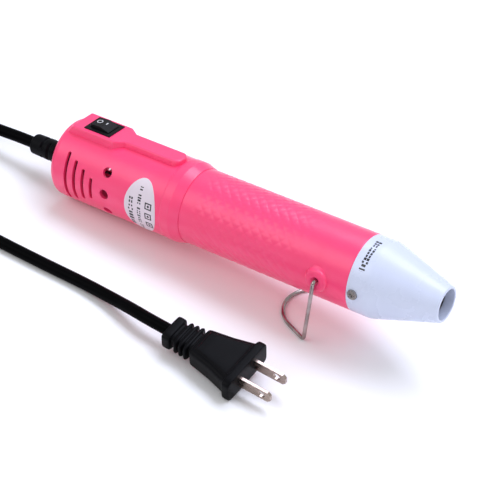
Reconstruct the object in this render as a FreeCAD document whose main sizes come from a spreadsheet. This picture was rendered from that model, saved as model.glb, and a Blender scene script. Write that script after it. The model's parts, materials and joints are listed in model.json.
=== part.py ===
import FreeCAD, Part
import Sketcher
import math
import os
import re

# A hand-held hot-air tool of the small craft kind: a fan and a mica heating element in a slim
# tubular body, a rocker switch on a raised pad, a cone nozzle and a folding wire stand.
# Units are millimetres.  Every piece of the tool is drawn along the tool's own axis: +X runs
# to the nozzle, +Z to the switch, and x = 0 is the seam between the grip and the nozzle.
# The whole tool is then pitched nose-up until it stands on its rear rim and its wire stand.

V = FreeCAD.Vector
doc = FreeCAD.newDocument("heat_tool")
sheet = doc.addObject("Spreadsheet::Sheet", "Sizes")

SIZES = {
    # body shells
    "body_length": 184.0,
    "nozzle_length": 44.5,
    "grip_radius": 20.1,
    "housing_step": 1.6,
    "wall": 2.0,
    "fit_gap": 0.1,
    "part_gap": 0.3,
    "grip_length": 100.0,
    "collar_width": 11.0,
    "collar_lift": 0.25,
    "collar_chamfer": 5.5,
    "spigot_length": 8.0,
    "front_spigot": 8.0,
    "rear_fillet": 4.0,
    # vents
    "slot_width": 2.0,
    "slot_pitch": 5.6,
    "slot_first": 11.6,
    "slot_half_angle": 38.0,
    "slot_angle_step": 8.0,
    "vent_hole_radius": 2.75,
    "vent_ring_place": 37.4,
    "vent_hole_step": 32.7,
    # raised pad and switch
    "pad_rise": 2.7,
    "pad_half_width": 8.8,
    "pad_back": 6.6,
    "pad_slope_length": 5.0,
    "pad_slope_drop": 6.0,
    "pad_length": 26.9,
    "pad_shoulder": 5.5,
    "bar_half_width": 5.1,
    "bar_end": 72.8,
    "pad_edge": 1.0,
    "pad_corner": 1.5,
    "bezel_lap": 0.7,
    "bezel_thick": 0.5,
    "switch_place": 21.4,
    "switch_body_length": 15.2,
    "switch_body_width": 11.8,
    "switch_depth": 12.0,
    "switch_end_wall": 1.35,
    "switch_side_wall": 1.3,
    "rocker_gap": 0.55,
    "rocker_swing": 7.0,
    "rocker_drop": 1.9,
    "rocker_crown": 4.1,
    "rocker_end_height": 3.0,
    "rocker_pin_radius": 0.9,
    # nozzle
    "nozzle_straight": 10.4,
    "nozzle_lip": 5.2,
    "mouth_radius": 8.0,
    "tip_radius": 9.4,
    "knee_fillet": 11.0,
    "screw_forward": 3.6,
    "screw_head_radius": 2.6,
    "screw_shank_radius": 1.3,
    # wire stand
    "pivot_back": 16.8,
    "boss_radius": 6.0,
    "boss_lift": 1.5,
    "boss_recess_radius": 2.1,
    "boss_recess_depth": 1.0,
    "wire_radius": 1.0,
    "leg_length": 36.0,
    "foot_start": 12.0,
    "foot_angle": 22.0,
    # cord and gland
    "cord_radius": 3.2,
    "gland_length": 26.7,
    "gland_radius": 6.3,
    "gland_tip_radius": 5.6,
    "gland_drop": 2.6,
    "clamp_length": 6.0,
    "clamp_width": 17.0,
    # motor and fan
    "motor_radius": 12.0,
    "motor_length": 30.0,
    "shaft_radius": 1.0,
    "fan_radius": 15.4,
    "fan_width": 8.0,
    "mount_thick": 2.0,
    "board_radius": 17.8,
    "board_thick": 1.2,
    "lead_radius": 0.7,
    "lead_ring": 16.6,
    # heating element
    "element_length": 78.0,
    "element_front": 17.0,
    "former_half_width": 10.9,
    "mica_thick": 0.8,
    "heat_wire_radius": 0.5,
    "sleeve_radius": 13.2,
    "shield_radius": 14.4,
    "sheet_thick": 0.5,
    # mains plug
    "blade_spacing": 12.7,
    "blade_width": 6.35,
    "blade_thick": 1.5,
    "blade_length": 17.6,
    "blade_hole_radius": 2.0,
    "plug_thick": 12.0,
    "flange_width": 32.4,
}

# Sizes that follow from the ones above.
FOLLOWING = {
    "pad_top": "( housing_radius + pad_rise )",
    "housing_radius": "( grip_radius + housing_step )",
    "bezel_length": "( switch_body_length + 2 * bezel_lap )",
    "bezel_width": "( switch_body_width + 2 * bezel_lap )",
    "rocker_length": "( switch_body_length - 2 * switch_end_wall - 2 * rocker_gap )",
    "rocker_width": "( switch_body_width - 2 * switch_side_wall - 2 * part_gap )",
}

for row, (alias, value) in enumerate(SIZES.items(), start=1):
    sheet.set(f"A{row}", alias)
    sheet.set(f"B{row}", str(value))
    sheet.setAlias(f"B{row}", alias)
doc.recompute()


def cell(text):
    """An expression with each size's name tied to its cell."""
    for name, formula in FOLLOWING.items():
        text = re.sub(rf"\b{name}\b", formula, text)
    return re.sub("[a-z_]+", lambda word: ("Sizes." if word[0] in SIZES else "") + word[0], text)


def number(text):
    """What an expression on the sheet comes to."""
    return float(sheet.evalExpression(cell(text)))


# Rotations that lay a primitive's own Z axis along the tool's axes.
ALONG_X = FreeCAD.Rotation(V(0, 1, 0), 90)
ALONG_Y = FreeCAD.Rotation(V(1, 0, 0), -90)
UPRIGHT = FreeCAD.Rotation()
LEFT, RIGHT = 1, -1
SIDES = (LEFT, RIGHT)

exported = []


# ---------------------------------------------------------------- modelling helpers

def place(obj, rotation, x, y, z):
    """Turn an object and tie its place to the sheet."""
    obj.Placement = FreeCAD.Placement(V(0, 0, 0), rotation)
    for axis, text in (("x", x), ("y", y), ("z", z)):
        obj.setExpression("Placement.Base." + axis, cell(text))
    return obj


def solid(kind, rotation, x, y, z, **dims):
    """A Part primitive whose sizes and place are expressions on the sheet."""
    obj = doc.addObject("Part::" + kind)
    for prop, text in dims.items():
        obj.setExpression(prop, cell(text))
    return place(obj, rotation, x, y, z)


def rod(x, radius, length, y="0", z="0"):
    """A cylinder along the tool's axis, from x forwards."""
    return solid("Cylinder", ALONG_X, x, y, z, Radius=radius, Height=length)


def cross_rod(x, y, z, radius, length):
    """A cylinder across the tool, from y towards +Y."""
    return solid("Cylinder", ALONG_Y, x, y, z, Radius=radius, Height=length)


def post(x, y, z, radius, height):
    """An upright cylinder."""
    return solid("Cylinder", UPRIGHT, x, y, z, Radius=radius, Height=height)


def block(x, y, z, length, width, height):
    """A box from its rear, right, bottom corner."""
    return solid("Box", UPRIGHT, x, y, z, Length=length, Width=width, Height=height)


def spoke(x, radius, angle, length="housing_radius + 6"):
    """A pin from the tool's axis outwards at an angle about it: 0 points to -Y, 90 to +Z."""
    obj = rod(x, radius, length)
    obj.Placement.Rotation = FreeCAD.Rotation(V(1, 0, 0), 90)
    obj.setExpression("Placement.Rotation.Angle", cell(f"90 - ( {angle} )"))
    return obj


def fuse(*shapes):
    """One solid from several."""
    obj = doc.addObject("Part::MultiFuse")
    obj.Shapes = list(shapes)
    return obj


def cut(base, *tools):
    """A solid with the others taken away."""
    obj = doc.addObject("Part::Cut")
    obj.Base = base
    obj.Tool = tools[0] if len(tools) == 1 else fuse(*tools)
    return obj


def common(first, second):
    """What two solids share."""
    obj = doc.addObject("Part::MultiCommon")
    obj.Shapes = [first, second]
    return obj


def tube(x, outer, inner, length):
    """A round tube along the tool's axis."""
    return cut(rod(x, outer, length), rod(f"( {x} ) - 1", inner, f"( {length} ) + 2"))


def group(*shapes):
    """Separate solids kept together in one node."""
    obj = doc.addObject("Part::Compound")
    obj.Links = list(shapes)
    return obj


def node(label, obj):
    """Name a finished sub-part for its file."""
    obj.Label = label
    exported.append(obj)
    return obj


def outline(body, role, corners):
    """A closed straight outline on one of a body's planes, its corners tied to the sheet."""
    sketch = body.newObject("Sketcher::SketchObject", body.Name + "_outline")
    plane = next(f for f in body.Origin.OriginFeatures if f.Role == role)
    sketch.AttachmentSupport = [(plane, "")]
    sketch.MapMode = "FlatFace"
    points = [V(number(across), number(up), 0) for across, up in corners]
    count = len(points)
    for i in range(count):
        sketch.addGeometry(Part.LineSegment(points[i], points[(i + 1) % count]), False)
    for i in range(count):
        sketch.addConstraint(Sketcher.Constraint("Coincident", i, 2, (i + 1) % count, 1))
    for i, texts in enumerate(corners):
        for kind, value, text in zip(("DistanceX", "DistanceY"), points[i], texts):
            index = sketch.addConstraint(Sketcher.Constraint(kind, -1, 1, i, 1, value))
            sketch.setExpression(f"Constraints[{index}]", cell(text))
    return sketch


def revolved(corners):
    """A body turned about the tool's axis from corners given as along, radius."""
    body = doc.addObject("PartDesign::Body")
    sketch = outline(body, "XZ_Plane", corners)
    turned = body.newObject("PartDesign::Revolution", body.Name + "_turned")
    turned.Profile = sketch
    turned.ReferenceAxis = (sketch, ["H_Axis"])
    turned.Angle = 360
    doc.recompute()
    return body


def extruded(role, corners, length, both_ways=False):
    """A body padded from a straight outline on one of its planes."""
    body = doc.addObject("PartDesign::Body")
    padded = body.newObject("PartDesign::Pad", body.Name + "_pad")
    padded.Profile = outline(body, role, corners)
    padded.Midplane = both_ways
    padded.setExpression("Length", cell(length))
    doc.recompute()
    return body


def rounded(body, radius, chosen):
    """Fillet the edges of a body that a test picks."""
    tip = body.Tip
    names = [f"Edge{i}" for i, edge in enumerate(tip.Shape.Edges, start=1) if chosen(edge)]
    fillet = body.newObject("PartDesign::Fillet", body.Name + "_round")
    fillet.Base = (tip, names)
    fillet.setExpression("Radius", cell(radius))
    doc.recompute()
    return body


def ring_edge(along, radius):
    """A test for the round edge at that station and radius."""
    x, r = number(along), number(radius)

    def test(edge):
        round_edge = isinstance(edge.Curve, Part.Circle)
        return round_edge and abs(edge.CenterOfMass.x - x) < 0.01 and abs(edge.Curve.Radius - r) < 0.01
    return test


def bent_path(points, radii):
    """Straight runs joined by tangent arcs: one radius for each inner point."""
    corners = [V(*p) for p in points]
    edges = []
    start = corners[0]
    for before, corner, after, radius in zip(corners, corners[1:], corners[2:], radii):
        back = (before - corner).normalize()
        ahead = (after - corner).normalize()
        half = 0.5 * (math.pi - back.getAngle(ahead))
        reach = radius * math.tan(half)
        first = corner + back * reach
        last = corner + ahead * reach
        inward = (back + ahead).normalize()
        middle = corner + inward * (radius / math.cos(half) - radius)
        if (first - start).Length > 1e-6:
            edges.append(Part.LineSegment(start, first).toShape())
        edges.append(Part.Arc(first, middle, last).toShape())
        start = last
    edges.append(Part.LineSegment(start, corners[-1]).toShape())
    return Part.Wire(edges)


def swept(points, radii, radius):
    """A round wire or cord along a bent path."""
    path = bent_path(points, radii)
    ahead = V(*points[1]) - V(*points[0])
    section = Part.Wire([Part.Circle(V(*points[0]), ahead, radius).toShape()])
    obj = doc.addObject("Part::Feature")
    obj.Shape = path.makePipeShell([section], True, False)
    return obj, path.Length


# ---------------------------------------------------------------- places along the tool

REAR = "- body_length"
JOIN = "- grip_length"
BORE = "housing_radius - wall"
SPIGOT = "housing_radius - wall - fit_gap"
GRIP_BORE = "grip_radius - wall - fit_gap"
NOZZLE_BORE = "grip_radius - wall"
FRONT_SPIGOT = "grip_radius - wall - fit_gap"
FRONT_BORE = "grip_radius - 2 * wall"
PAD_BACK = "pad_back - body_length"
PAD_FRONT = "pad_back + pad_length - body_length"
BAR_FRONT = "bar_end - body_length"
SWITCH_X = "switch_place - body_length"
ROCKER_X = number(SWITCH_X)
PIVOT_X = "- pivot_back"
BOSS_FACE = "grip_radius + boss_lift"
LEG_Y = "grip_radius + boss_lift + wire_radius + part_gap + 0.2"
MOUNT_FRONT = "- grip_length - spigot_length - fit_gap"
MOTOR_FRONT = MOUNT_FRONT + " - mount_thick"
MOTOR_REAR = MOTOR_FRONT + " - motor_length"
CAP_THICK = "2"
BOARD_X = MOTOR_REAR + " - 6"
BOARD_FRONT = BOARD_X + " + board_thick"
ELEMENT_REAR = "element_front - element_length"
SHIELD_FRONT = "element_front + 0.5"
LIP_BACK = "nozzle_length - nozzle_lip"
CONE_END_RADIUS = "mouth_radius + 0.8"
CORD_Z = "- gland_drop"
ROCKER_Z = "pad_top + bezel_thick - rocker_drop"


# ---------------------------------------------------------------- shells

def switch_pad():
    """Raised pad: a sloped back, wide under the switch, then a narrow bar to the collar."""
    foot = PAD_BACK + " - pad_slope_length"
    corners = [(foot, "- pad_half_width"), (PAD_FRONT, "- pad_half_width"),
               (PAD_FRONT + " + pad_shoulder", "- bar_half_width"), (BAR_FRONT, "- bar_half_width"),
               (BAR_FRONT, "bar_half_width"), (PAD_FRONT + " + pad_shoulder", "bar_half_width"),
               (PAD_FRONT, "pad_half_width"), (foot, "pad_half_width")]
    body = extruded("XY_Plane", corners, "pad_top")
    slope = body.newObject("PartDesign::Pocket", "pad_slope")
    slope.Profile = outline(body, "XZ_Plane", [(PAD_BACK, "pad_top"), (foot, "pad_top - pad_slope_drop"),
                                               (foot + " - 1", "pad_top - pad_slope_drop"),
                                               (foot + " - 1", "pad_top + 1"), (PAD_BACK, "pad_top + 1")])
    slope.Midplane = True
    slope.setExpression("Length", cell("3 * pad_half_width"))
    doc.recompute()
    top = number("pad_top")
    back, front = number(PAD_BACK), number(BAR_FRONT)
    rounded(body, "bar_half_width - 1.4",
            lambda edge: edge.BoundBox.ZLength > 1 and abs(edge.CenterOfMass.x - front) < 0.1)
    rounded(body, "pad_corner", lambda edge: edge.BoundBox.ZLength > 1 and edge.BoundBox.XLength > 1
            and edge.BoundBox.XMax < back + 0.1 and edge.BoundBox.ZMax > top - 0.1)
    return rounded(body, "pad_edge", lambda edge: edge.BoundBox.ZMin > top - 0.01)


def slot(index, side):
    """One slot of the triangle of air slots: a wedge from the axis with two rounded ends."""
    x = f"slot_first + {index} * slot_pitch - body_length"
    half = f"slot_half_angle - {index} * slot_angle_step"
    reach = "housing_radius + 4"
    across = f"{side} * ( {reach} ) "
    rise = f"( {reach} ) * tan( {half} )"
    wedge = extruded("YZ_Plane", [("0", "0"), (across, "- " + rise), (across, rise)], "slot_width")
    place(wedge, UPRIGHT, f"{x} - slot_width / 2", "0", "0")
    ends = [spoke(x, "slot_width / 2", f"{base} + {sign} * ( {half} )")
            for base in ([0] if side == RIGHT else [180]) for sign in (-1, 1)]
    return [wedge] + ends


def rear_housing():
    """Rear shell: pad, switch opening, air slots and holes, cord hole and clamp seat."""
    outer = revolved([(REAR, "0"), (REAR, "housing_radius"),
                      (JOIN + " - collar_width", "housing_radius"),
                      (JOIN + " - collar_width + 0.6", "housing_radius + collar_lift"),
                      (JOIN + " - collar_chamfer", "housing_radius + collar_lift"),
                      (JOIN, "grip_radius + collar_lift"), (JOIN, "0")])
    rounded(outer, "rear_fillet", ring_edge(REAR, "housing_radius"))
    shell = fuse(outer, switch_pad())
    inside = rod(REAR + " + wall", BORE, "body_length")
    cord_hole = rod(REAR + " - 1", "gland_radius - 0.5", "wall + 2", z=CORD_Z)
    switch_hole = block(SWITCH_X + " - switch_body_length / 2 - fit_gap",
                        "- switch_body_width / 2 - fit_gap", "0",
                        "switch_body_length + 2 * fit_gap", "switch_body_width + 2 * fit_gap",
                        "pad_top + 2")
    pad_relief = block(PAD_FRONT + " - pad_shoulder", "- bar_half_width + wall", "0",
                       BAR_FRONT + " - ( " + PAD_FRONT + " )", "2 * ( bar_half_width - wall )",
                       "pad_top - wall")
    vents = []
    for side in SIDES:
        for index in range(4):
            vents += slot(index, side)
        for step in (-1, 0, 1):
            base = 0 if side == RIGHT else 180
            vents.append(spoke("vent_ring_place - body_length", "vent_hole_radius",
                               f"{base} + {step} * vent_hole_step"))
    hollow = cut(shell, inside, cord_hole, switch_hole, pad_relief, *vents)
    seat = cut(block(REAR + " + wall - 0.5", "- clamp_width / 2", CORD_Z + " - cord_radius - 3.2",
                     "clamp_length + 5.5", "clamp_width", "cord_radius + 3.2"),
               rod(REAR, "cord_radius + 0.05", "clamp_length + 12", z=CORD_Z),
               rod(REAR, "gland_radius + 2.2", "wall + 2.3", z=CORD_Z),
               *[post(REAR + " + wall + 8", f"{side} * clamp_width * 0.36", CORD_Z + " - 6", "0.85", "8")
                 for side in SIDES])
    return node("rear_housing", fuse(hollow, seat))


def grip_tube():
    """Front tube that the hand holds, with a spigot at each end and the two stand bosses."""
    body = revolved([(JOIN + " - spigot_length", GRIP_BORE), (JOIN + " - spigot_length", SPIGOT),
                     (JOIN + " + fit_gap", SPIGOT), (JOIN + " + fit_gap", "grip_radius"),
                     ("- fit_gap / 2", "grip_radius"), ("- fit_gap / 2", FRONT_SPIGOT),
                     ("front_spigot", FRONT_SPIGOT), ("front_spigot", FRONT_BORE),
                     ("-4", FRONT_BORE), ("-6", GRIP_BORE)])
    tube_length = "2 * ( " + BOSS_FACE + " )"
    bosses = cut(cross_rod(PIVOT_X, "- ( " + BOSS_FACE + " )", "0", "boss_radius", tube_length),
                 rod("- body_length", "grip_radius - wall / 2", "2 * body_length"))
    shell = fuse(body, bosses)
    recesses = [cross_rod(PIVOT_X, f"{side} * ( {BOSS_FACE} ) - boss_recess_depth", "0",
                          "boss_recess_radius", "2 * boss_recess_depth") for side in SIDES]
    pivot_holes = cross_rod(PIVOT_X, "-40", "0", "wire_radius + 0.06", "80")
    screw_holes = cross_rod("screw_forward", "-40", "0", "screw_shank_radius + 0.05", "80")
    return node("grip_tube", cut(shell, pivot_holes, screw_holes, *recesses))


def nozzle_cone():
    """White cone with a rolled mouth; its skirt slips over the grip's front spigot."""
    inner_back = "mouth_radius + 0.9"
    body = revolved([("0", NOZZLE_BORE), ("0", "grip_radius"), ("nozzle_straight", "grip_radius"),
                     ("nozzle_length", "tip_radius"), ("nozzle_length", "mouth_radius"),
                     (LIP_BACK, "mouth_radius"), (LIP_BACK, inner_back), ("nozzle_straight", NOZZLE_BORE)])
    rounded(body, "knee_fillet", ring_edge("nozzle_straight", "grip_radius"))
    rounded(body, "( tip_radius - mouth_radius ) * 0.6", ring_edge("nozzle_length", "tip_radius"))
    rounded(body, "( tip_radius - mouth_radius ) * 0.3", ring_edge("nozzle_length", "mouth_radius"))
    depth = "40 - ( grip_radius - 1.1 )"
    recesses = [cross_rod("screw_forward", start, "0", "screw_head_radius + 0.1", depth)
                for start in ("grip_radius - 1.1", "- 40")]
    through = cross_rod("screw_forward", "-40", "0", "screw_shank_radius + 0.2", "80")
    return node("nozzle_cone", cut(body, through, *recesses))


def nozzle_screws():
    """Two pan-head screws, one each side, that hold the nozzle's skirt on the spigot."""
    screws = []
    for side in SIDES:
        head_y = f"{side} * ( grip_radius - 0.15 ) - 0.85"
        head = cross_rod("screw_forward", head_y, "0", "screw_head_radius", "1.7")
        shank_y = f"{side} * ( grip_radius - 2.35 ) - 1.55"
        shank = cross_rod("screw_forward", shank_y, "0", "screw_shank_radius", "3.1")
        slot_y = f"{side} * ( grip_radius + 0.7 ) - 0.8"
        slots = [block("screw_forward - 1.5", slot_y, "-0.3", "3", "1.6", "0.6"),
                 block("screw_forward - 0.3", slot_y, "-1.5", "0.6", "1.6", "3")]
        screws.append(cut(fuse(head, shank), *slots))
    return node("nozzle_screws", group(*screws))


def rating_label():
    """Thin oval sticker on the right side, long way round the body."""
    x = REAR + " + 60.7"
    band = tube(x + " - 10", "housing_radius + 0.2", "housing_radius + 0.05", "20")
    oval = doc.addObject("Part::Ellipse")
    oval.setExpression("MajorRadius", cell("housing_radius * 0.715"))
    oval.MinorRadius = 9.9
    place(oval, FreeCAD.Rotation(V(0, 0, 1), V(1, 0, 0), V(0, 1, 0), "XYZ"), x, "-60", "0")
    prism = doc.addObject("Part::Extrusion")
    prism.Base = oval
    prism.DirMode = "Custom"
    prism.Dir = V(0, 1, 0)
    prism.LengthFwd = 60
    prism.Solid = True
    return node("rating_label", common(band, prism))


# ---------------------------------------------------------------- switch

def switch_frame():
    """Snap-in rocker switch body with its bezel, open at the top for the rocker."""
    bezel = block(SWITCH_X + " - bezel_length / 2", "- bezel_width / 2", "pad_top",
                  "bezel_length", "bezel_width", "bezel_thick")
    body = block(SWITCH_X + " - switch_body_length / 2", "- switch_body_width / 2",
                 "pad_top - switch_depth", "switch_body_length", "switch_body_width", "switch_depth")
    well = block(SWITCH_X + " - rocker_length / 2 - rocker_gap", "- rocker_width / 2 - part_gap",
                 "pad_top - switch_depth + 1.5", "rocker_length + 2 * rocker_gap",
                 "rocker_width + 2 * part_gap", "switch_depth + 4")
    pivot = cross_rod(SWITCH_X, "-20", ROCKER_Z, "rocker_pin_radius + 0.07", "40")
    bezel_body = fuse(bezel, body)
    return node("switch_frame", cut(bezel_body, well, pivot))


def switch_rocker():
    """Rocker with a low ridge over its pins, at rest with its front end pressed."""
    half = "rocker_length / 2"
    corners = [("- " + half, "rocker_end_height"), ("0", "rocker_crown"), (half, "rocker_end_height"),
               (half, "rocker_drop - 1.4"), ("rocker_length * 0.3", "-3.4"),
               ("- rocker_length * 0.3", "-3.4"), ("- " + half, "rocker_drop - 1.4")]
    body = extruded("XZ_Plane", corners, "rocker_width", both_ways=True)
    low = number("rocker_end_height") - 0.1
    rounded(body, "0.4", lambda edge: edge.BoundBox.YLength > 1 and edge.CenterOfMass.z > low)
    pins = cross_rod("0", "- rocker_width / 2 - 1", "0", "rocker_pin_radius", "rocker_width + 2")
    rocker = fuse(body, pins)
    place(rocker, FreeCAD.Rotation(V(0, 1, 0), 1), SWITCH_X, "0", ROCKER_Z)
    rocker.setExpression("Placement.Rotation.Angle", cell("rocker_swing"))
    return node("switch_rocker", rocker)


def switch_terminals():
    """Two flat tabs under the switch."""
    top = "pad_top - switch_depth"
    tabs = [block(f"{SWITCH_X} + {along} - 0.4", "-2.4", top + " - 6", "0.8", "4.8", "6")
            for along in (-4.5, 4.5)]
    return node("switch_terminals", group(*tabs))


# ---------------------------------------------------------------- cord entry

def cord_gland():
    """Ribbed strain relief: a flange inside the rear wall and a tapered ribbed tail outside."""
    hole = "cord_radius + 0.05"
    inside = REAR + " + wall + fit_gap"
    outside = REAR + " - fit_gap"
    corners = [(inside + " + 2", hole), (inside + " + 2", "gland_radius + 2"),
               (inside, "gland_radius + 2"), (inside, "gland_radius - 0.6"),
               (outside, "gland_radius - 0.6"), (outside, "gland_radius")]
    ribs = 5
    for i in range(ribs):
        taper = f"( gland_radius - gland_tip_radius ) * {i + 1} / {ribs}"
        pitch = f"( gland_length - 3.5 ) / {ribs}"
        edge = f"{REAR} - 2 - {i} * {pitch}"
        radius = f"gland_radius - {taper}"
        corners += [(edge, radius), (edge, radius + " - 0.8"),
                    (f"{edge} - 1.5", radius + " - 0.8"), (f"{edge} - 1.5", radius)]
    corners += [(REAR + " - gland_length", "gland_tip_radius"), (REAR + " - gland_length", hole)]
    return node("cord_gland", place(revolved(corners), UPRIGHT, "0", "0", CORD_Z))


def cord_inner():
    """The cord's sheath where the gland and the clamp hold it."""
    return node("cord_inner", rod(REAR + " - gland_length", "cord_radius",
                                  "gland_length + wall + clamp_length + 5", z=CORD_Z))


def cord_clamp():
    """Saddle that presses the sheath on its seat, and its two screws."""
    x = REAR + " + wall + 5"
    middle = x + " + clamp_length / 2"
    top = CORD_Z + " + cord_radius"
    holes = [post(middle, f"{side} * clamp_width * 0.36", CORD_Z + " - 1", "1.0", "20") for side in SIDES]
    saddle = cut(block(x, "- clamp_width / 2", CORD_Z + " + 0.2", "clamp_length", "clamp_width",
                       "cord_radius + 2"),
                 rod(REAR, "cord_radius + 0.05", "clamp_length + 20", z=CORD_Z), *holes)
    screws = []
    for side in SIDES:
        y = f"{side} * clamp_width * 0.36"
        head = post(middle, y, top + " + 2.2", "1.8", "1.3")
        shank = post(middle, y, CORD_Z + " - 4", "0.8", "cord_radius + 6.4")
        driver_slot = block(middle + " - 1.4", y + " - 0.25", top + " + 3", "2.8", "0.5", "2")
        screws.append(cut(fuse(head, shank), driver_slot))
    node("cord_clamp", saddle)
    return node("clamp_screws", group(*screws))


# ---------------------------------------------------------------- motor and fan

def motor():
    """Small can motor: can, end cap, magnets, bushes and terminals stay; the armature turns."""
    can = revolved([(MOTOR_REAR, "motor_radius - 1"), (MOTOR_REAR, "motor_radius"),
                    (MOTOR_FRONT, "motor_radius"), (MOTOR_FRONT, "3"), (MOTOR_FRONT + " + 1.2", "3"),
                    (MOTOR_FRONT + " + 1.2", "2.6"), (MOTOR_FRONT + " - 1", "2.6"),
                    (MOTOR_FRONT + " - 1", "motor_radius - 1")])
    screw_holes = [rod(MOTOR_FRONT + " - 3", "1.15", "6", y=f"{side} * 7.5") for side in SIDES]
    node("motor_can", cut(can, *screw_holes))
    cap = cut(rod(MOTOR_REAR + " - " + CAP_THICK, "motor_radius", CAP_THICK),
              rod(MOTOR_REAR + " - 3", "2.6", "6"),
              *[block(MOTOR_REAR + " - 3", f"{side} * 8 - 1.3", "-0.45", "6", "2.6", "0.9")
                for side in SIDES])
    node("motor_end_cap", cap)
    ring = tube(MOTOR_REAR + " + 4", "motor_radius - 1.1", "motor_radius - 3", "motor_length - 10")
    gaps = block(MOTOR_REAR, "-20", "-3", "motor_length", "40", "6")
    node("motor_magnets", cut(ring, gaps))
    rear_bush = tube(MOTOR_REAR + " - " + CAP_THICK, "2.55", "shaft_radius + 0.04", CAP_THICK)
    front_bush = tube(MOTOR_FRONT + " - 1", "2.55", "shaft_radius + 0.04", "2")
    node("motor_bushes", group(rear_bush, front_bush))
    tabs = [block(MOTOR_REAR + " - 7.4", f"{side} * 8 - 1.2", "-0.3", "8", "2.4", "0.6")
            for side in SIDES]
    node("motor_terminals", group(*tabs))
    screws = []
    for side in SIDES:
        y = f"{side} * 7.5"
        head = rod(MOUNT_FRONT + " + 0.05", "2.0", "1.3", y=y)
        shank = rod(MOTOR_FRONT + " - 2", "1.1", "mount_thick + 2.5", y=y)
        slot_cut = block(MOUNT_FRONT + " + 0.8", y + " - 1.6", "-0.25", "2", "3.2", "0.5")
        screws.append(cut(fuse(head, shank), slot_cut))
    node("motor_screws", group(*screws))


def rotor():
    """Shaft with the armature inside the can and the fan in front of the mount."""
    shaft_front = MOUNT_FRONT + " + fan_width + 3.5"
    node("motor_shaft", rod(MOTOR_REAR + " - 2.6", "shaft_radius",
                            f"{shaft_front} - ( {MOTOR_REAR} - 2.6 )"))
    radius = "motor_radius - 3.4"
    x = MOTOR_REAR + " + 5"
    length = "motor_length - 12"
    grooves = []
    for turn in (0, 120, 240):
        groove = block(x + " - 1", "0", "0", length + " + 2", "1.6", "8")
        set_round(groove, turn, "-0.8", radius + " - 5.5")
        grooves.append(groove)
    commutator = rod(MOTOR_REAR + " + 0.6", "2.4", "4.4")
    core = cut(fuse(rod(x, radius, length), commutator),
               rod(MOTOR_REAR + " - 1", "shaft_radius + 0.02", "motor_length"), *grooves)
    node("motor_armature", core)
    fan_x = MOUNT_FRONT + " + part_gap + 1.8"
    hub = cut(rod(fan_x, "4", "fan_width"),
              rod(fan_x + " - 1", "shaft_radius + 0.02", "fan_width + 2"))
    count = 7
    blades = [fan_blade(fan_x, 360.0 / count * index) for index in range(count)]
    trimmed = common(fuse(*blades), tube(fan_x, "fan_radius", "3.5", "fan_width"))
    node("fan", fuse(hub, trimmed))


def set_round(obj, turn, y, z):
    """Turn an object about the tool's axis, its corner's y and z turning with it."""
    obj.Placement.Rotation = FreeCAD.Rotation(V(1, 0, 0), turn)
    cos, sin = math.cos(math.radians(turn)), math.sin(math.radians(turn))
    obj.setExpression("Placement.Base.y", cell(f"( {y} ) * {cos:.6f} - ( {z} ) * {sin:.6f}"))
    obj.setExpression("Placement.Base.z", cell(f"( {y} ) * {sin:.6f} + ( {z} ) * {cos:.6f}"))


def fan_blade(fan_x, turn):
    """A flat blade pitched 32 degrees about its own radius, its middle half the fan's width in."""
    blade = block("0", "0", "0", "fan_width * 0.95", "1.2", "fan_radius")
    around = FreeCAD.Rotation(V(1, 0, 0), turn)
    pitched = around * FreeCAD.Rotation(V(0, 0, 1), 32)
    blade.Placement.Rotation = pitched
    middle = pitched.multVec(V(0.5, 0, 0))
    out = around.multVec(V(0, 0, 1))
    across = pitched.multVec(V(0, 1, 0))
    starts = {"x": fan_x + " + fan_width / 2", "y": "0", "z": "0"}
    for axis, start in starts.items():
        along, lift, side = (getattr(vector, axis) for vector in (middle, out, across))
        text = f"{start} + 3 * {lift:.6f} - fan_width * 0.95 * {along:.6f} - 0.6 * {side:.6f}"
        blade.setExpression("Placement.Base." + axis, cell(text))
    return blade


def motor_mount():
    """Ring against the spigot's end with a three-armed spider that carries the motor."""
    ring = tube(MOTOR_FRONT, SPIGOT, "lead_ring + lead_radius + 0.3", "mount_thick")
    plate = rod(MOTOR_FRONT, "motor_radius - 0.5", "mount_thick")
    arms = [spoke(MOTOR_FRONT + " + mount_thick / 2", "mount_thick / 2", f"90 + {turn}", SPIGOT + " - 0.5")
            for turn in (0, 120, 240)]
    holes = [rod(MOTOR_FRONT + " - 1", "1.2", "mount_thick + 2", y=f"{side} * 7.5") for side in SIDES]
    nose = rod(MOTOR_FRONT + " - 1", "3.1", "mount_thick + 2")
    return node("motor_mount", cut(fuse(ring, plate, *arms), nose, *holes))


def circuit():
    """Round rectifier board behind the motor, held by the motor's tabs, with four diodes."""
    board = cut(rod(BOARD_X, "board_radius", "board_thick"),
                *[block(BOARD_X + " - 1", f"{side} * 8 - 1.3", "-0.4", "board_thick + 2", "2.6", "0.8")
                  for side in SIDES])
    node("rectifier_board", board)
    diodes = [solid("Cylinder", ALONG_Y, BOARD_X + " - 1.35", f"{row} * 4.6 - 2.2", f"{rise}",
                    Radius="1.25", Height="4.4") for row in (-0.6, 0.6) for rise in (-5.5, 5.5)]
    node("diodes", group(*diodes))


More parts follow.
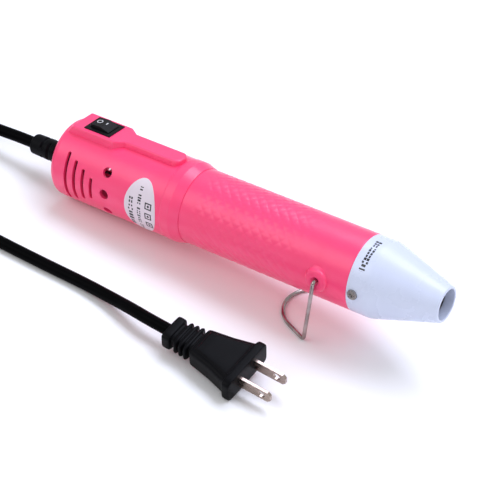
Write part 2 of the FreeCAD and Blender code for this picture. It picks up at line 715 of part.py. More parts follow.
def leads():
    """Insulated wires: cord to switch, cord to board, switch to board, board to element."""
    wire = number("lead_radius")
    cord_end = number(REAR + " + wall + clamp_length + 5") + 0.1
    cord_z = number(CORD_Z)
    board = number(BOARD_X) - 0.05
    tab_low = number("pad_top - switch_depth") - 6
    rear_tab, front_tab = ROCKER_X - 4.5, ROCKER_X + 4.5
    paths = {
        "live_lead": [(cord_end, -1.2, cord_z + 0.4), (cord_end + 3, -1.2, cord_z + 0.6),
                      (rear_tab, -1.2, tab_low - 3), (rear_tab, -1.2, tab_low - 0.05)],
        "neutral_lead": [(cord_end, 1.2, cord_z - 0.6), (cord_end + 6, 1.2, cord_z - 1.2),
                         (board - 8, 1.2, -3.0), (board, 1.2, -3.0)],
        "switched_lead": [(front_tab, 1.2, tab_low - 0.05), (front_tab, 1.2, tab_low - 3),
                          (board - 5, 1.2, 1.8), (board, 1.2, 1.6)],
    }
    for label, points in paths.items():
        node(label, swept(points, [1.8] * (len(points) - 2), wire)[0])
    runs = [rod(BOARD_FRONT + " + 0.05", "lead_radius", f"{ELEMENT_REAR} - 0.15 - ( {BOARD_FRONT} )",
                y=f"{side} * lead_ring") for side in SIDES]
    node("heater_leads", group(*runs))


# ---------------------------------------------------------------- heating element

def element():
    """Mica cross with its wound wire, mica sleeve, steel shield, spacers and outlet cone."""
    sleeve_bore = "sleeve_radius - sheet_thick"
    tab_half = sleeve_bore + " - 0.12"
    plates = []
    for x, length, half in ((ELEMENT_REAR, "element_length", "former_half_width"),
                            (ELEMENT_REAR, "5", tab_half), ("element_front - 5", "5", tab_half)):
        low, full = f"- ( {half} )", f"2 * ( {half} )"
        plates.append(block(x, low, "- mica_thick / 2", length, full, "mica_thick"))
        plates.append(block(x, "- mica_thick / 2", low, length, "mica_thick", full))
    node("element_former", fuse(*plates))
    node("mica_sleeve", tube(ELEMENT_REAR, "sleeve_radius", sleeve_bore, "element_length"))
    node("heat_shield", tube(ELEMENT_REAR + " + 4", "shield_radius", "shield_radius - sheet_thick",
                             f"{SHIELD_FRONT} - ( {ELEMENT_REAR} + 4 )"))
    node("rear_spacer", tube(ELEMENT_REAR, GRIP_BORE + " - 0.05", "sleeve_radius + 0.05", "4"))
    node("front_spacer", tube("front_spigot - 2.8", FRONT_BORE + " - 0.05", "shield_radius + 0.05", "2.8"))
    cone = revolved([(SHIELD_FRONT, "shield_radius - sheet_thick"), (SHIELD_FRONT, "shield_radius"),
                     (LIP_BACK + " - 0.05", CONE_END_RADIUS),
                     (LIP_BACK + " - 0.05", CONE_END_RADIUS + " - sheet_thick")])
    node("outlet_cone", cone)
    node("thermal_fuse", rod(ELEMENT_REAR + " - 9.1", "1.6", "9"))


def heating_coil():
    """Resistance wire wound round the mica cross."""
    wire = number("heat_wire_radius")
    radius = number("former_half_width") + wire + 0.1
    start = number(ELEMENT_REAR) + 7
    length = number("element_length") - 14
    helix = Part.makeHelix(length / 15.5, length, radius)
    section = Part.Wire([Part.Circle(V(radius, 0, 0), V(0, 1, 0), wire).toShape()])
    obj = doc.addObject("Part::Feature")
    obj.Shape = Part.Wire(helix).makePipeShell([section], True, True)
    place(obj, ALONG_X, f"{start}", "0", "0")
    return node("heating_coil", obj)


# ---------------------------------------------------------------- where the tool stands

def standing_pitch():
    """The nose-up angle at which the rear rim and the stand's foot both reach the floor."""
    lift = number("leg_length") + number("wire_radius")
    fillet = number("rear_fillet")
    along = number("body_length") - fillet - number("pivot_back")
    down = number("housing_radius") - fillet
    reach = math.hypot(along, down)
    return math.asin((lift - fillet) / reach) - math.atan2(down, along)


PITCH = standing_pitch()


def stand_on_floor(tool_nodes):
    """Pitch the tool, put its feet on z = 0 and its middle over the origin."""
    turn = FreeCAD.Rotation(V(0, 1, 0), -math.degrees(PITCH))
    pivot = turn.multVec(V(-number("pivot_back"), 0, 0))
    lift = number("leg_length") + number("wire_radius") - pivot.z
    tilt = FreeCAD.Placement(V(0, 0, lift), turn)
    gland_top = number("gland_tip_radius - gland_drop")
    rear = turn.multVec(V(number(REAR + " - gland_length"), 0, gland_top)).x
    round_over = 0.6 * (number("tip_radius") - number("mouth_radius"))
    front = turn.multVec(V(number("nozzle_length") - round_over, 0, round_over - number("tip_radius"))).x
    shift = FreeCAD.Placement(V(-(rear + front + round_over) / 2, 0, 0), FreeCAD.Rotation())
    tool = shift.multiply(tilt)
    for obj in tool_nodes:
        carried = tool.multiply(obj.Placement)
        for axis in "xyz":
            obj.setExpression("Placement.Base." + axis, None)
        obj.setExpression("Placement.Rotation.Angle", None)
        obj.Placement = carried
    return tool


def wire_stand(tool):
    """Bent wire: two pivot ends, two upright legs and a bowed foot that lies flat behind them."""
    leg = number("leg_length")
    y = number(LEG_Y)
    inner = number("grip_radius") - number("wall") - 1.2
    heading = math.radians(number("foot_angle"))
    straight = number("foot_start")
    side_in = y - straight * math.sin(heading)
    back = straight * math.cos(heading)
    bow = side_in / math.cos(heading)
    tangent_reach = bow * math.tan((math.pi / 2 - heading) / 2)
    corner_back = back + tangent_reach * math.cos(heading)
    corner_side = side_in - tangent_reach * math.sin(heading)
    points = [(0, -inner, 0), (0, -y, 0), (0, -y, -leg), (-corner_back, -corner_side, -leg),
              (-corner_back, corner_side, -leg), (0, y, -leg), (0, y, 0), (0, inner, 0)]
    bend = 1.8
    stand, length = swept(points, [bend, bend, bow, bow, bend, bend], number("wire_radius"))
    stand.Placement = FreeCAD.Placement(tool.multVec(V(-number("pivot_back"), 0, 0)), FreeCAD.Rotation())
    print("stand wire", round(length, 1), "mm, pivot at", stand.Placement.Base)
    return node("wire_stand", stand)


# ---------------------------------------------------------------- cord and plug on the floor

COIL_CENTRE = (-206.74, -28.0)
COIL_MEAN_RADIUS = 33.6
TIE_ANGLE = 200.0
TIE_WIDTH = 7.0
TIE_THICK = 0.8
PLUG_HEADING = 0.0
PLUG_ROLL = 12.0
PLUG_HOLES = (76.46, -71.0, 9.55)
PLUG_REAR = -58.5

# Points of the free cord after the gland, chosen by hand: it sags from the gland to the coil.
LEAD_POINTS = [(-138.4, 0.0, 15.06), (-151.2, -0.5, 13.6), (-164.7, 0.4, 11.6), (-179.7, 4.9, 10.1),
               (-194.2, 9.7, 9.6), (-206.74, 12.0, 9.6)]
# From the coil along the floor and up into the plug's strain relief.
TAIL_POINTS = [(-206.74, -68.0, 3.2), (-182.7, -68.4, 3.2), (-153.7, -66.6, 3.2), (-122.7, -67.0, 3.2),
               (-92.7, -66.5, 3.2), (-64.7, -65.4, 3.2), (-41.0, -64.2, 3.4), (-22.5, -65.6, 4.9),
               (-6.5, -69.0, 8.2), (5.5, -71.0, 9.55)]


def run_radii(points):
    """Bend radii of a loose cord: 0.45 of the shorter run over the tangent of half the turn."""
    radii = []
    for a, b, c in zip(points, points[1:], points[2:]):
        before = V(*b) - V(*a)
        after = V(*c) - V(*b)
        half = before.getAngle(after) / 2
        radii.append(0.45 * min(before.Length, after.Length) / math.tan(half))
    return radii


def free_cord(label, points):
    """A stretch of cord along straight runs and tangent arcs."""
    radii = run_radii(points)
    obj, length = swept(points, radii, number("cord_radius"))
    section = math.pi * number("cord_radius") ** 2
    print(label, "length", round(length, 1), "smallest radius", round(min(radii), 1),
          "radii", [round(r) for r in radii], "volume ratio", round(obj.Shape.Volume / (section * length), 4))
    return node(label, obj)


def cord_coil():
    """Outer shape of the wound length: three turns side by side, two layers high, and its tie."""
    cord = "cord_radius"
    outer, inner = f"{COIL_MEAN_RADIUS} + 3 * {cord}", f"{COIL_MEAN_RADIUS} - 3 * {cord}"
    x, y = str(COIL_CENTRE[0]), str(COIL_CENTRE[1])
    ring = cut(post(x, y, "0", outer, f"4 * {cord}"), post(x, y, "-1", inner, f"4 * {cord} + 2"))
    turn = math.radians(TIE_ANGLE)
    radial = FreeCAD.Rotation(V(0, 0, 1), TIE_ANGLE)

    def across(start, length, low, high, width):
        """A box across the coil at the tie, from one radius outwards."""
        box = doc.addObject("Part::Box")
        box.setExpression("Length", cell(length))
        box.Width = width
        box.setExpression("Height", cell(f"{high} - ( {low} )"))
        box.Placement.Rotation = radial
        x_text = f"{COIL_CENTRE[0]} + ( {start} ) * {math.cos(turn):.6f} + {width / 2 * math.sin(turn):.6f}"
        y_text = f"{COIL_CENTRE[1]} + ( {start} ) * {math.sin(turn):.6f} - {width / 2 * math.cos(turn):.6f}"
        box.setExpression("Placement.Base.x", cell(x_text))
        box.setExpression("Placement.Base.y", cell(y_text))
        box.setExpression("Placement.Base.z", cell(low))
        return box

    thick = TIE_THICK
    outside = across(f"{inner} - {thick}", f"6 * {cord} + 2 * {thick}", "0", f"4 * {cord} + {thick}",
                     TIE_WIDTH)
    inside = across(f"{inner} + 0.2", f"6 * {cord} - 0.4", f"{thick}", f"4 * {cord} - 0.2", TIE_WIDTH + 2)
    groove = cut(across(f"{inner} - 2", f"6 * {cord} + 4", "-1", f"4 * {cord} + 2", TIE_WIDTH + 0.4),
                 across(f"{inner} + 0.35", f"6 * {cord} - 0.7", f"{thick} + 0.15", f"4 * {cord} - 0.35",
                        TIE_WIDTH + 4))
    node("cord_coil", cut(ring, groove))
    return node("coil_tie", cut(outside, inside))


def plug_frame():
    """Placement of the plug: blade holes, heading, a small pitch and a roll towards its right."""
    turn = FreeCAD.Rotation(V(0, 0, 1), PLUG_HEADING).multiply(FreeCAD.Rotation(V(1, 0, 0), PLUG_ROLL))
    return FreeCAD.Placement(V(*PLUG_HOLES), turn)


def plug():
    """Moulded two-blade plug: ribbed relief, bell-shaped body and flange, and its blades."""
    bell = extruded("XY_Plane", [("-41", "-9"), ("-34.5", "-10"), ("-28", "-11.3"), ("-22", "-13"),
                                 ("-16", "-14.4"), ("-16", "14.4"), ("-22", "13"), ("-28", "11.3"),
                                 ("-34.5", "10"), ("-41", "9")], "plug_thick", both_ways=True)
    rounded(bell, "2.6", lambda edge: edge.BoundBox.ZLength < 0.01 and edge.BoundBox.XLength > 1)
    half_high = "( plug_thick / 2 + 0.6 )"
    half_wide = "flange_width / 2"
    flange = extruded("YZ_Plane", [("- " + half_wide, "- " + half_high), (half_wide, "- " + half_high),
                                   (half_wide, half_high), ("- " + half_wide, half_high)], "4.5")
    rounded(flange, "2.5", lambda edge: edge.BoundBox.XLength > 4)
    place(flange, UPRIGHT, "-17", "0", "0")
    core = block("-55.8", "-6", "-3.8", "16", "12", "7.6")
    ribs = [block(f"{x}", f"-{half}", "-4.6", "1.9", f"{2 * half}", "9.2")
            for x, half in ((-51.4, 8.2), (-48.3, 8.5), (-45.2, 8.8))]
    collar = block(f"{PLUG_REAR}", "-7.9", "-4.9", "4.8", "15.8", "9.8")
    body = fuse(bell, flange, core, *ribs, collar)
    node("plug_body", body)
    blades = []
    for side in SIDES:
        tip = "blade_length - 12.5"
        tongue = extruded("XZ_Plane", [("-12.5", "- blade_width / 2"), (tip + " - 1.6", "- blade_width / 2"),
                                       (tip, "- blade_width / 2 + 1.6"), (tip, "blade_width / 2 - 1.6"),
                                       (tip + " - 1.6", "blade_width / 2"), ("-12.5", "blade_width / 2")],
                          "blade_thick", both_ways=True)
        place(tongue, UPRIGHT, "0", f"{side} * blade_spacing / 2", "0")
        blades.append(cut(tongue, cross_rod("0", "-20", "0", "blade_hole_radius", "40")))
    node("plug_blades", group(*blades))
    for obj in exported[-2:]:
        obj.Placement = plug_frame()


# ---------------------------------------------------------------- the whole

rear_housing()
grip_tube()
nozzle_cone()
nozzle_screws()
rating_label()
switch_frame()
switch_rocker()
switch_terminals()
cord_gland()
cord_inner()
cord_clamp()
motor()
rotor()
motor_mount()
circuit()
leads()
element()
heating_coil()
doc.recompute()
tool_place = stand_on_floor(list(exported))
wire_stand(tool_place)
gland_end = tool_place.multVec(V(number(REAR + " - gland_length"), 0, number(CORD_Z)))
print("gland end", gland_end, "seam", tool_place.Base)
free_cord("cord_lead", [tuple(gland_end)] + LEAD_POINTS)
cord_coil()
relief_end = plug_frame().multVec(V(PLUG_REAR, 0, 0))
free_cord("cord_tail", TAIL_POINTS + [tuple(relief_end)])
plug()
doc.recompute()

faults = [f"{obj.Name}: {obj.State}" for obj in doc.Objects if {"Invalid", "Error"} & set(obj.State)]
for obj in exported:
    if obj.Shape.isNull() or not obj.Shape.isValid():
        faults.append(f"{obj.Label}: bad shape")
if faults:
    raise SystemExit("\n".join(faults))

os.makedirs("parts", exist_ok=True)
for obj in exported:
    obj.Shape.exportStep(f"parts/{obj.Label}.step")
print("pitch", round(math.degrees(PITCH), 3), "nodes", len(exported))
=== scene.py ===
import json
import math

import bmesh
import bpy
import numpy as np
from mathutils import Matrix, Vector


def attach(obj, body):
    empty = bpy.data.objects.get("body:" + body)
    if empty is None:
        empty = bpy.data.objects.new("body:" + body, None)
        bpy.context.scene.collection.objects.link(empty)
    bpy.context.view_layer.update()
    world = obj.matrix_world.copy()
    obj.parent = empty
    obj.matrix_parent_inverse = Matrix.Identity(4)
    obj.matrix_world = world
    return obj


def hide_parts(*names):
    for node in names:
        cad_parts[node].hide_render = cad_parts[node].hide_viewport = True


# A slim hot-air craft tool on a pale studio floor: pink vented shell and knurled barrel, white
# cone nozzle, rocker switch, folding wire stand and a black mains cord with a two-blade plug.
# Lengths are metres; the pieces of the tool are drawn in its own millimetres, with x = 0 at the
# seam before the nozzle, x forwards along the barrel and z towards the switch.

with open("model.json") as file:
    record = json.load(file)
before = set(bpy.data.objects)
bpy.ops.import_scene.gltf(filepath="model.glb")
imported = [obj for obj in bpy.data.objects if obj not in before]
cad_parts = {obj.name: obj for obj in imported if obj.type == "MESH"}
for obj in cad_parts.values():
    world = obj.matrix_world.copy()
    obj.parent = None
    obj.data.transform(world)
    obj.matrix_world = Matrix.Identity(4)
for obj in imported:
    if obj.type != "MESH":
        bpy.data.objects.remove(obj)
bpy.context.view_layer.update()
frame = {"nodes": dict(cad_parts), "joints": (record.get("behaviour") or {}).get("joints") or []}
nodes = frame["nodes"]
joints = {joint["name"]: joint for joint in frame["joints"]}
MM = 0.001

# ------------------------------------------------------------ the tool's own frame

PIVOT_BACK = 16.8
FORWARD = Vector(joints["fan_spin"]["axis"]).normalized()
PITCH = math.asin(FORWARD.z)
SEAM = Vector(joints["stand_fold"]["pos_m"]) + FORWARD * PIVOT_BACK * MM
TOOL_AXES = np.array([FORWARD, (0, 1, 0), (-math.sin(PITCH), 0, math.cos(PITCH))])


def in_room(points):
    """Tool millimetres to room metres: p = seam + x * forward + y * left + z * up."""
    return np.asarray(points, float) @ TOOL_AXES * MM + np.array(SEAM)


# ------------------------------------------------------------ camera

CAMERA_PLACE = Vector((0.3672, -0.6162, 0.5536))
CAMERA_LOOK = Vector((-0.3958, 0.6929, -0.6026))
CAMERA_UP = Vector((-0.415, 0.4504, 0.7905))
CAMERA_LENS = 125.1


def make_camera():
    """A long lens that looks down on the tool from its right front."""
    data = bpy.data.cameras.new("camera")
    data.lens = CAMERA_LENS
    data.sensor_width = 36
    data.clip_start = 0.01
    data.clip_end = 20
    camera = bpy.data.objects.new("camera", data)
    back = -CAMERA_LOOK.normalized()
    right = CAMERA_UP.cross(back).normalized()
    up = back.cross(right)
    turn = Matrix((right, up, back)).transposed()
    camera.matrix_world = Matrix.Translation(CAMERA_PLACE) @ turn.to_4x4()
    bpy.context.scene.collection.objects.link(camera)
    bpy.context.scene.camera = camera


make_camera()

# ------------------------------------------------------------ studio

def make_floor():
    """A wide flat sheet of pale paper under the tool."""
    mesh = bpy.data.meshes.new("floor")
    half = 3.0
    mesh.from_pydata([(-half, -half, 0), (half, -half, 0), (half, half, 0), (-half, half, 0)],
                     [], [(0, 1, 2, 3)])
    floor = bpy.data.objects.new("floor", mesh)
    bpy.context.scene.collection.objects.link(floor)
    material = bpy.data.materials.new("paper")
    material.use_nodes = True
    shader = material.node_tree.nodes["Principled BSDF"]
    shader.inputs["Base Color"].default_value = (0.93, 0.93, 0.94, 1)
    shader.inputs["Roughness"].default_value = 0.9
    shader.inputs["Specular IOR Level"].default_value = 0.2
    mesh.materials.append(material)


def make_light(name, place, target, width, height, power, colour=(1, 1, 1)):
    """A rectangular soft light that faces the target."""
    data = bpy.data.lights.new(name, "AREA")
    data.shape = "RECTANGLE"
    data.size = width
    data.size_y = height
    data.energy = power
    data.color = colour
    light = bpy.data.objects.new(name, data)
    ahead = Vector(target) - Vector(place)
    light.matrix_world = Matrix.Translation(place) @ ahead.to_track_quat("-Z", "Y").to_matrix().to_4x4()
    bpy.context.scene.collection.objects.link(light)


def make_studio():
    """Pale floor, white surroundings and three soft boxes."""
    make_floor()
    scene = bpy.context.scene
    world = bpy.data.worlds.new("studio")
    world.use_nodes = True
    sky = world.node_tree.nodes["Background"]
    sky.inputs["Color"].default_value = (0.96, 0.97, 1.0, 1)
    sky.inputs["Strength"].default_value = 0.58
    scene.world = world
    scene.view_settings.view_transform = "Standard"
    middle = (0, 0, 0.03)
    make_light("top box", (0.10, 0.35, 0.95), middle, 1.1, 0.5, 9.5, (0.78, 0.83, 1.0))
    make_light("front box", (-0.55, -0.8, 0.75), middle, 0.9, 0.7, 3.5)
    make_light("right box", (0.95, -0.15, 0.5), middle, 0.6, 0.5, 1.0)


make_studio()

# ------------------------------------------------------------ shader tools

def socket_value(socket, value):
    """A number, or a colour or vector of as many numbers as the socket holds."""
    if hasattr(socket.default_value, "__len__") and not hasattr(value, "__len__"):
        value = [value] * len(socket.default_value)
    if hasattr(value, "__len__") and len(value) == 3 and len(socket.default_value) == 4:
        value = [*value, 1]
    socket.default_value = value


class Tree:
    """Short calls for adding and joining nodes in one material or group."""

    def __init__(self, tree):
        self.tree = tree

    def add(self, kind, settings=None, **inputs):
        """A node of that kind; inputs are links from other sockets or plain values."""
        node = self.tree.nodes.new("ShaderNode" + kind)
        for name, value in (settings or {}).items():
            setattr(node, name, value)
        for name, value in inputs.items():
            self.feed(node, name, value)
        return node

    def feed(self, node, name, value):
        """Join a socket, or set its value; _0, _1 and _2 stand for the numbered sockets."""
        key = int(name[1:]) if name[0] == "_" else name.replace("_", " ")
        if isinstance(value, bpy.types.NodeSocket):
            self.tree.links.new(value, node.inputs[key])
        else:
            socket_value(node.inputs[key], value)

    def math(self, operation, *values):
        """A Math node's result."""
        inputs = {f"_{i}": value for i, value in enumerate(values)}
        return self.add("Math", {"operation": operation}, **inputs).outputs[0]

    def blend(self, factor, first, second, how="MIX"):
        """A colour between two, by a factor."""
        node = self.add("Mix", {"data_type": "RGBA", "blend_type": how})
        for index, value in ((0, factor), (6, first), (7, second)):
            self.feed(node, f"_{index}", value)
        return node.outputs[2]

    def ramp(self, value, low, high, start=0.0, end=1.0):
        """A value carried linearly from low..high to start..end, and held at the ends."""
        node = self.add("MapRange", {"clamp": True}, _0=value, _1=low, _2=high, _3=start, _4=end)
        return node.outputs[0]

    def noise(self, vector, scale, detail=3.0, roughness=0.55):
        """Smooth noise of about 1/scale metres."""
        node = self.add("TexNoise", Vector=vector, Scale=scale, Detail=detail, Roughness=roughness)
        return node.outputs["Fac"]


def new_group(name, inputs, outputs):
    """A shader node group with named inputs (name, kind, value) and outputs (name, kind)."""
    tree = bpy.data.node_groups.new(name, "ShaderNodeTree")
    for label, kind, value in inputs:
        socket = tree.interface.new_socket(label, in_out="INPUT", socket_type="NodeSocket" + kind)
        if value is not None:
            socket.default_value = value
    for label, kind in outputs:
        tree.interface.new_socket(label, in_out="OUTPUT", socket_type="NodeSocket" + kind)
    built = Tree(tree)
    entry = tree.nodes.new("NodeGroupInput").outputs
    leave = tree.nodes.new("NodeGroupOutput").inputs
    return built, entry, leave


def use_group(tree, group, **inputs):
    """Place a group and give it this material's values."""
    node = tree.tree.nodes.new("ShaderNodeGroup")
    node.node_tree = group
    for name, value in inputs.items():
        tree.feed(node, name, value)
    return node.outputs


class Finish(Tree):
    """A material: its shader, its constant sockets, and object coordinates."""

    def __init__(self, name, colour, roughness, **constants):
        self.material = bpy.data.materials.new(name)
        self.material.use_nodes = True
        super().__init__(self.material.node_tree)
        self.shader = self.tree.nodes["Principled BSDF"]
        self.set(Base_Color=colour, Roughness=roughness, **constants)
        self.place = self.add("TexCoord").outputs["Object"]

    def set(self, **inputs):
        """Set or join sockets of the shader."""
        for name, value in inputs.items():
            self.feed(self.shader, name, value)

    def bump(self, height, distance, strength):
        """Raise the surface by height times distance."""
        node = self.add("Bump", Height=height, Distance=distance, Strength=strength)
        return node.outputs["Normal"]


# ------------------------------------------------------------ mains cord

CORD_RADIUS = 0.0032
LEAD_ROUTE = [(-0.12705, 0.0, 0.01614), (-0.1384, 0.0, 0.01506), (-0.1512, -0.0005, 0.0136),
              (-0.1647, 0.0004, 0.0116), (-0.1797, 0.0049, 0.0101), (-0.1942, 0.0097, 0.0096)]
TAIL_ROUTE = [(-0.1827, -0.0684, 0.0032), (-0.1537, -0.0666, 0.0032), (-0.1227, -0.0670, 0.0032),
              (-0.0927, -0.0665, 0.0032), (-0.0647, -0.0654, 0.0032), (-0.0410, -0.0642, 0.0034),
              (-0.0225, -0.0656, 0.0049), (-0.0065, -0.0690, 0.0082), (0.0055, -0.0710, 0.00955),
              (0.01796, -0.0710, 0.00955)]
COIL_CENTRE = (-0.20674, -0.028)
COIL_TURNS = 5.5
COIL_STEPS = 16
COIL_OUTER = 0.0400
COLUMN_SHIFTS = ((0.9, -1), (1.85, -1), (3.65, 1), (4.6, 1))
LAYER_DROP = 2.75
SHIFT_WIDTH = 0.11


def ease(value):
    """Smooth step from 0 to 1 as value runs from -1 to 1."""
    t = min(max(0.5 * (value + 1), 0), 1)
    return t * t * (3 - 2 * t)


def coil_route():
    """Turns of the wound length: angle = 90 degrees + turn; each shift moves the radius by one
    cord's width, inwards on the upper layer and outwards on the lower."""
    points = []
    grow = 1 / math.cos(math.pi / COIL_STEPS)
    for i in range(int(COIL_TURNS * COIL_STEPS) + 1):
        turn = i / COIL_STEPS
        steps = sum(way * ease((turn - at) / SHIFT_WIDTH) for at, way in COLUMN_SHIFTS)
        radius = (COIL_OUTER + 2 * CORD_RADIUS * steps) * grow
        height = CORD_RADIUS * (3 - 2 * ease((turn - LAYER_DROP) / SHIFT_WIDTH))
        angle = math.pi / 2 + 2 * math.pi * turn
        points.append((COIL_CENTRE[0] + radius * math.cos(angle),
                       COIL_CENTRE[1] + radius * math.sin(angle), height))
    return points


def make_cord():
    """One smooth spline from the strain relief, round the coil, to the plug; its points' radius
    times the bevel of one metre is the cord's."""
    points = LEAD_ROUTE + coil_route() + TAIL_ROUTE
    curve = bpy.data.curves.new("cord", "CURVE")
    curve.dimensions = "3D"
    curve.bevel_depth = 1.0
    curve.bevel_resolution = 5
    curve.use_fill_caps = True
    spline = curve.splines.new("NURBS")
    spline.points.add(len(points) - 1)
    spline.points.foreach_set("co", np.column_stack([points, np.ones(len(points))]).ravel())
    spline.points.foreach_set("radius", np.full(len(points), CORD_RADIUS))
    spline.order_u = 3
    spline.use_endpoint_u = True
    spline.resolution_u = 6
    cord = bpy.data.objects.new("cord", curve)
    bpy.context.scene.collection.objects.link(cord)
    return cord


cord = make_cord()
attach(cord, "tool")
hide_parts("cord_lead", "cord_coil", "cord_tail")

# ------------------------------------------------------------ shared effects

def tool_place_group():
    """Object coordinates carried to the tool's own millimetres: inverse of in_room()."""
    group, entry, leave = new_group("tool place", [], [("Vector", "Vector")])
    place = group.add("TexCoord").outputs["Object"]
    turned = group.add("Mapping", {"vector_type": "TEXTURE"}, Vector=place, Location=SEAM,
                       Rotation=(0, -PITCH, 0), Scale=(MM, MM, MM))
    group.tree.links.new(turned.outputs[0], leave["Vector"])
    return group.tree


def moulded_grain_group():
    """Spark-eroded mould texture: fine noise with a coarser one under it, and a soft cloud."""
    group, entry, leave = new_group(
        "moulded grain",
        [("Vector", "Vector", None), ("Grain", "Float", 1800.0), ("Cloud", "Float", 60.0)],
        [("Height", "Float"), ("Cloud", "Float")])
    fine = group.noise(entry["Vector"], entry["Grain"], 2.0, 0.6)
    coarse = group.noise(entry["Vector"], group.math("MULTIPLY", entry["Grain"], 0.35), 2.0, 0.5)
    cloud = group.noise(entry["Vector"], entry["Cloud"], 4.0, 0.6)
    height = group.math("ADD", group.math("MULTIPLY", fine, 0.6), group.math("MULTIPLY", coarse, 0.4))
    group.tree.links.new(height, leave["Height"])
    group.tree.links.new(cloud, leave["Cloud"])
    return group.tree


def brushed_group():
    """Drawn or rolled metal: noise stretched along one axis, and patches of handling."""
    group, entry, leave = new_group(
        "brushed lines",
        [("Vector", "Vector", None), ("Stretch", "Vector", None), ("Scale", "Float", 900.0)],
        [("Lines", "Float"), ("Patches", "Float")])
    drawn = group.add("VectorMath", {"operation": "MULTIPLY"}, _0=entry["Vector"], _1=entry["Stretch"])
    lines = group.noise(drawn.outputs[0], entry["Scale"], 3.0, 0.65)
    patches = group.noise(entry["Vector"], 140.0, 3.0, 0.6)
    group.tree.links.new(lines, leave["Lines"])
    group.tree.links.new(patches, leave["Patches"])
    return group.tree


def printed_row_group():
    """A row of plain printed blocks round the body: across is the distance from the row's middle
    line, along the way round; each cell of the pitch gets a block of its own width and height, or
    none.  The blocks stand for writing and spell nothing."""
    group, entry, leave = new_group(
        "printed row", [("Across", "Float", 0.0), ("Along", "Float", 0.0), ("Half height", "Float", 1.0),
                        ("Pitch", "Float", 1.5), ("From", "Float", -8.0), ("To", "Float", 8.0),
                        ("Seed", "Float", 0.0)], [("Mask", "Float")])
    cells = group.math("DIVIDE", entry["Along"], entry["Pitch"])
    cell = group.math("FLOOR", cells)
    part = group.math("SUBTRACT", cells, cell)
    chance = group.add("TexWhiteNoise", {"noise_dimensions": "2D"},
                       Vector=group.add("CombineXYZ", _0=cell, _1=entry["Seed"]).outputs[0])
    split = group.add("SeparateColor", _0=chance.outputs["Color"]).outputs
    width = group.ramp(split[0], 0.0, 1.0, 0.45, 0.86)
    height = group.math("MULTIPLY", entry["Half height"], group.ramp(split[1], 0.0, 1.0, 0.65, 1.0))
    stroke = group.math("LESS_THAN", part, width)
    notch = group.math("GREATER_THAN", group.math("ABSOLUTE", entry["Across"]),
                       group.math("MULTIPLY", height, group.ramp(split[2], 0.5, 1.0, 0.0, 0.45)))
    inside = group.math("LESS_THAN", group.math("ABSOLUTE", entry["Across"]), height)
    shown = group.math("GREATER_THAN", split[2], 0.08)
    after = group.math("GREATER_THAN", entry["Along"], entry["From"])
    before = group.math("LESS_THAN", entry["Along"], entry["To"])
    mask = group.math("MULTIPLY", stroke, inside)
    for factor in (notch, shown, after, before):
        mask = group.math("MULTIPLY", mask, factor)
    group.tree.links.new(mask, leave["Mask"])
    return group.tree


TOOL_PLACE = tool_place_group()
MOULDED_GRAIN = moulded_grain_group()
BRUSHED_LINES = brushed_group()
PRINTED_ROW = printed_row_group()

# ------------------------------------------------------------ finishes

def moulded(name, colour, second, roughness, grain=1800.0, depth=0.00004, cloud=60.0, **constants):
    """Moulded plastic or rubber: grain in the surface, clouds in its colour and gloss."""
    finish = Finish(name, colour, roughness, **constants)
    effect = use_group(finish, MOULDED_GRAIN, Vector=finish.place, Grain=grain, Cloud=cloud)
    tint = finish.ramp(effect["Cloud"], 0.3, 0.7)
    gloss = finish.ramp(effect["Cloud"], 0.3, 0.7, roughness - 0.05, roughness + 0.06)
    finish.set(Base_Color=finish.blend(tint, colour, second), Roughness=gloss,
               Normal=finish.bump(effect["Height"], depth, 0.6))
    return finish


def drawn_metal(name, colour, second, roughness, stretch, scale=900.0, depth=0.00001, **constants):
    """Metal with lines along the way it was drawn or rolled."""
    finish = Finish(name, colour, roughness, Metallic=1.0, **constants)
    effect = use_group(finish, BRUSHED_LINES, Vector=finish.place, Stretch=stretch, Scale=scale)
    tint = finish.ramp(effect["Patches"], 0.35, 0.65)
    gloss = finish.ramp(effect["Lines"], 0.3, 0.7, roughness - 0.06, roughness + 0.1)
    finish.set(Base_Color=finish.blend(tint, colour, second), Roughness=gloss,
               Normal=finish.bump(effect["Lines"], depth, 0.5))
    return finish


def dress(finish, *names):
    """Give CAD nodes a finish in place of their plain one."""
    for name in names:
        for material_slot in nodes[name].material_slots:
            material_slot.material = finish.material


def round_the_tool(finish):
    """Tool millimetres on a surface: along x, and the angle in degrees up from the right side."""
    place = finish.add("SeparateXYZ", _0=use_group(finish, TOOL_PLACE)["Vector"]).outputs
    angle = finish.math("ARCTAN2", place[2], finish.math("MULTIPLY", place[1], -1.0))
    return place, finish.math("MULTIPLY", angle, 180 / math.pi)


def printed_row(finish, along, degrees, middle, radius, seed, half_height, pitch, start, end):
    """One row of printed blocks at x = middle, between two distances round the body."""
    round_way = finish.math("MULTIPLY", degrees, radius * math.pi / 180)
    return use_group(finish, PRINTED_ROW, Across=finish.math("SUBTRACT", along, middle), Along=round_way,
                     Half_height=half_height, Pitch=pitch, From=start, To=end, Seed=seed)["Mask"]


def away_from(finish, place, centre):
    """Distances along and across the tool from a centre on it."""
    return [finish.math("SUBTRACT", place[i], centre[i]) for i in range(2)]


def ring_mask(finish, x, y, radius, half_stroke):
    """A ring: the distance from its middle lies within half a stroke of its radius."""
    squares = finish.math("ADD", finish.math("MULTIPLY", x, x), finish.math("MULTIPLY", y, y))
    distance = finish.math("SQRT", squares)
    off = finish.math("ABSOLUTE", finish.math("SUBTRACT", distance, radius))
    return finish.math("LESS_THAN", off, half_stroke)


def bar_mask(finish, x, y, half_x, half_y):
    """A bar: both distances from its middle are under half its sides."""
    inside_x = finish.math("LESS_THAN", finish.math("ABSOLUTE", x), half_x)
    return finish.math("MULTIPLY", inside_x, finish.math("LESS_THAN", finish.math("ABSOLUTE", y), half_y))


